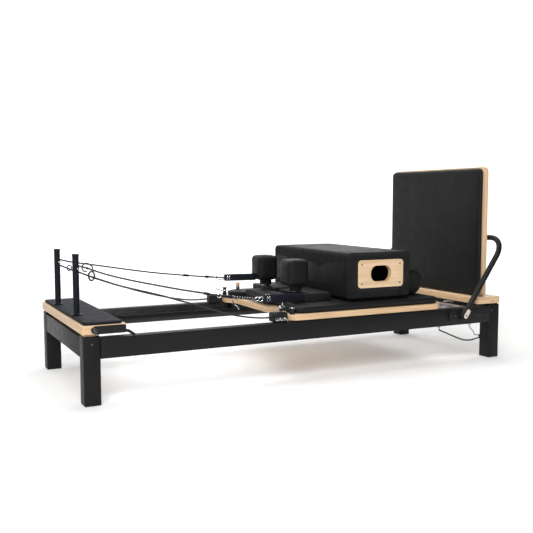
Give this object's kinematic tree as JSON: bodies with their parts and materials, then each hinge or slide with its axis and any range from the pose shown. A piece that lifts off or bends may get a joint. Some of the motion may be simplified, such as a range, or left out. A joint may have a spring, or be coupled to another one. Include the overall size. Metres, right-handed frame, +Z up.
{
  "type": "pilates reformer",
  "caption": "Long low steel frame with a padded sprung carriage, posts and ropes at the head, and a footbar, jump board and sitting box at the foot.",
  "frame": {"origin": "on the floor, under the middle of the bounding box", "axes": "+X towards the foot end (footbar and jump board), +Y towards the far side, +Z up"},
  "size_m": [2.4332, 0.9936, 1.092],
  "materials": {
    "black_steel": "satin powder coat",
    "navy_paint": "satin paint",
    "chrome": "polished",
    "aluminium": "brushed anodised",
    "plywood": "clear matt lacquer on light maple",
    "black_vinyl": "fine grained upholstery vinyl",
    "navy_vinyl": "smooth upholstery vinyl",
    "black_plastic": "moulded",
    "rope": "braided",
    "pale_plastic": "moulded"
  },
  "bodies": {
    "frame": {"leg_head_near": "black_steel", "leg_head_far": "black_steel", "leg_foot_near": "black_steel", "leg_foot_far": "black_steel", "side_rail_near": "black_steel", "side_rail_far": "black_steel", "wheel_track_near": "aluminium", "wheel_track_far": "aluminium", "end_rail_head": "black_steel", "end_rail_foot": "black_steel", "head_platform_board": "plywood", "head_platform_pad": "navy_vinyl", "post_near": "navy_paint", "post_far": "navy_paint", "post_cap_near": "black_plastic", "post_cap_far": "black_plastic", "side_bumper_near": "black_plastic", "side_bumper_far": "black_plastic", "foot_platform_board": "plywood", "spring_bar": "aluminium", "footbar_mount_near": "black_plastic", "footbar_mount_far": "black_plastic", "spring_1": "chrome", "spring_2": "chrome", "spring_3": "chrome", "spring_4": "chrome", "rope_near": "rope", "rope_far": "rope", "tether_thick": "rope", "tether_thin": "rope"},
    "roller_near": {"rope_roller_near": "aluminium"},
    "roller_far": {"rope_roller_far": "aluminium"},
    "footbar": {"footbar_tube": "black_steel", "footbar_end_plate_near": "pale_plastic", "footbar_end_plate_far": "pale_plastic"},
    "jump_board": {"jump_board_panel": "plywood", "jump_board_pad": "black_vinyl"},
    "carriage": {"carriage_board": "plywood", "carriage_pad": "black_vinyl", "carriage_subframe": "black_steel", "rope_lock_near": "black_plastic", "rope_lock_far": "black_plastic", "cleat_near": "black_plastic", "cleat_far": "black_plastic", "shoulder_base_near": "black_vinyl", "shoulder_base_far": "black_vinyl", "hand_loop_near": "navy_vinyl", "hand_loop_far": "navy_vinyl"},
    "wheel_head_near": {"wheel_head_near": "black_plastic"},
    "wheel_foot_near": {"wheel_foot_near": "black_plastic"},
    "wheel_head_far": {"wheel_head_far": "black_plastic"},
    "wheel_foot_far": {"wheel_foot_far": "black_plastic"},
    "shoulder_rest_near": {"shoulder_rest_near": "black_vinyl"},
    "shoulder_rest_far": {"shoulder_rest_far": "black_vinyl"},
    "headrest": {"headrest": "black_vinyl"},
    "sitting_box": {"sitting_box": "black_vinyl", "box_plate_near": "plywood", "box_plate_far": "plywood"},
    "bolster": {"bolster": "black_vinyl"}
  },
  "joints": [
    {"name": "carriage_slide", "type": "slide", "parent": "frame", "child": "carriage", "axis": [-1, 0, 0], "range_m": [0, 0.72], "deforming": ["spring_1", "spring_2", "spring_3", "spring_4", "rope_near", "rope_far"]},
    {"name": "footbar_hinge", "type": "hinge", "parent": "frame", "child": "footbar", "pos_m": [0.90445, 0, 0.261], "axis": [0, 1, 0], "range_deg": [-7, 55]},
    {"name": "jump_board_lift", "type": "slide", "parent": "frame", "child": "jump_board", "axis": [0, 0, 1], "range_m": [0, 0.08]},
    {"name": "roller_near_spin", "type": "hinge", "parent": "frame", "child": "roller_near", "pos_m": [-1.17355, -0.205, 0.589], "axis": [0, 1, 0], "continuous": true},
    {"name": "roller_far_spin", "type": "hinge", "parent": "frame", "child": "roller_far", "pos_m": [-1.17355, 0.205, 0.589], "axis": [0, 1, 0], "continuous": true},
    {"name": "wheel_head_near_spin", "type": "hinge", "parent": "carriage", "child": "wheel_head_near", "pos_m": [-0.07555, -0.385, 0.284], "axis": [0, 1, 0], "continuous": true},
    {"name": "wheel_head_far_spin", "type": "hinge", "parent": "carriage", "child": "wheel_head_far", "pos_m": [-0.07555, 0.385, 0.284], "axis": [0, 1, 0], "continuous": true},
    {"name": "wheel_foot_near_spin", "type": "hinge", "parent": "carriage", "child": "wheel_foot_near", "pos_m": [0.66944, -0.385, 0.284], "axis": [0, 1, 0], "continuous": true},
    {"name": "wheel_foot_far_spin", "type": "hinge", "parent": "carriage", "child": "wheel_foot_far", "pos_m": [0.66944, 0.385, 0.284], "axis": [0, 1, 0], "continuous": true},
    {"name": "shoulder_rest_near_lift", "type": "slide", "parent": "carriage", "child": "shoulder_rest_near", "axis": [0, 0, 1], "range_m": [0, 0.05]},
    {"name": "shoulder_rest_far_lift", "type": "slide", "parent": "carriage", "child": "shoulder_rest_far", "axis": [0, 0, 1], "range_m": [0, 0.05]},
    {"name": "headrest_tilt", "type": "hinge", "parent": "carriage", "child": "headrest", "pos_m": [-0.03456, 0, 0.404], "axis": [0, 1, 0], "range_deg": [0, 30]},
    {"name": "sitting_box_lift", "type": "slide", "parent": "carriage", "child": "sitting_box", "axis": [0, 0, 1], "range_m": [0, 0.3]},
    {"name": "bolster_lift", "type": "slide", "parent": "carriage", "child": "bolster", "axis": [0, 0, 1], "range_m": [0, 0.3]}
  ],
  "couplings": [
    {"joint": "wheel_head_near_spin", "follows": "carriage_slide", "rad_per_m": -55.556},
    {"joint": "wheel_head_far_spin", "follows": "carriage_slide", "rad_per_m": -55.556},
    {"joint": "wheel_foot_near_spin", "follows": "carriage_slide", "rad_per_m": -55.556},
    {"joint": "wheel_foot_far_spin", "follows": "carriage_slide", "rad_per_m": -55.556}
  ]
}
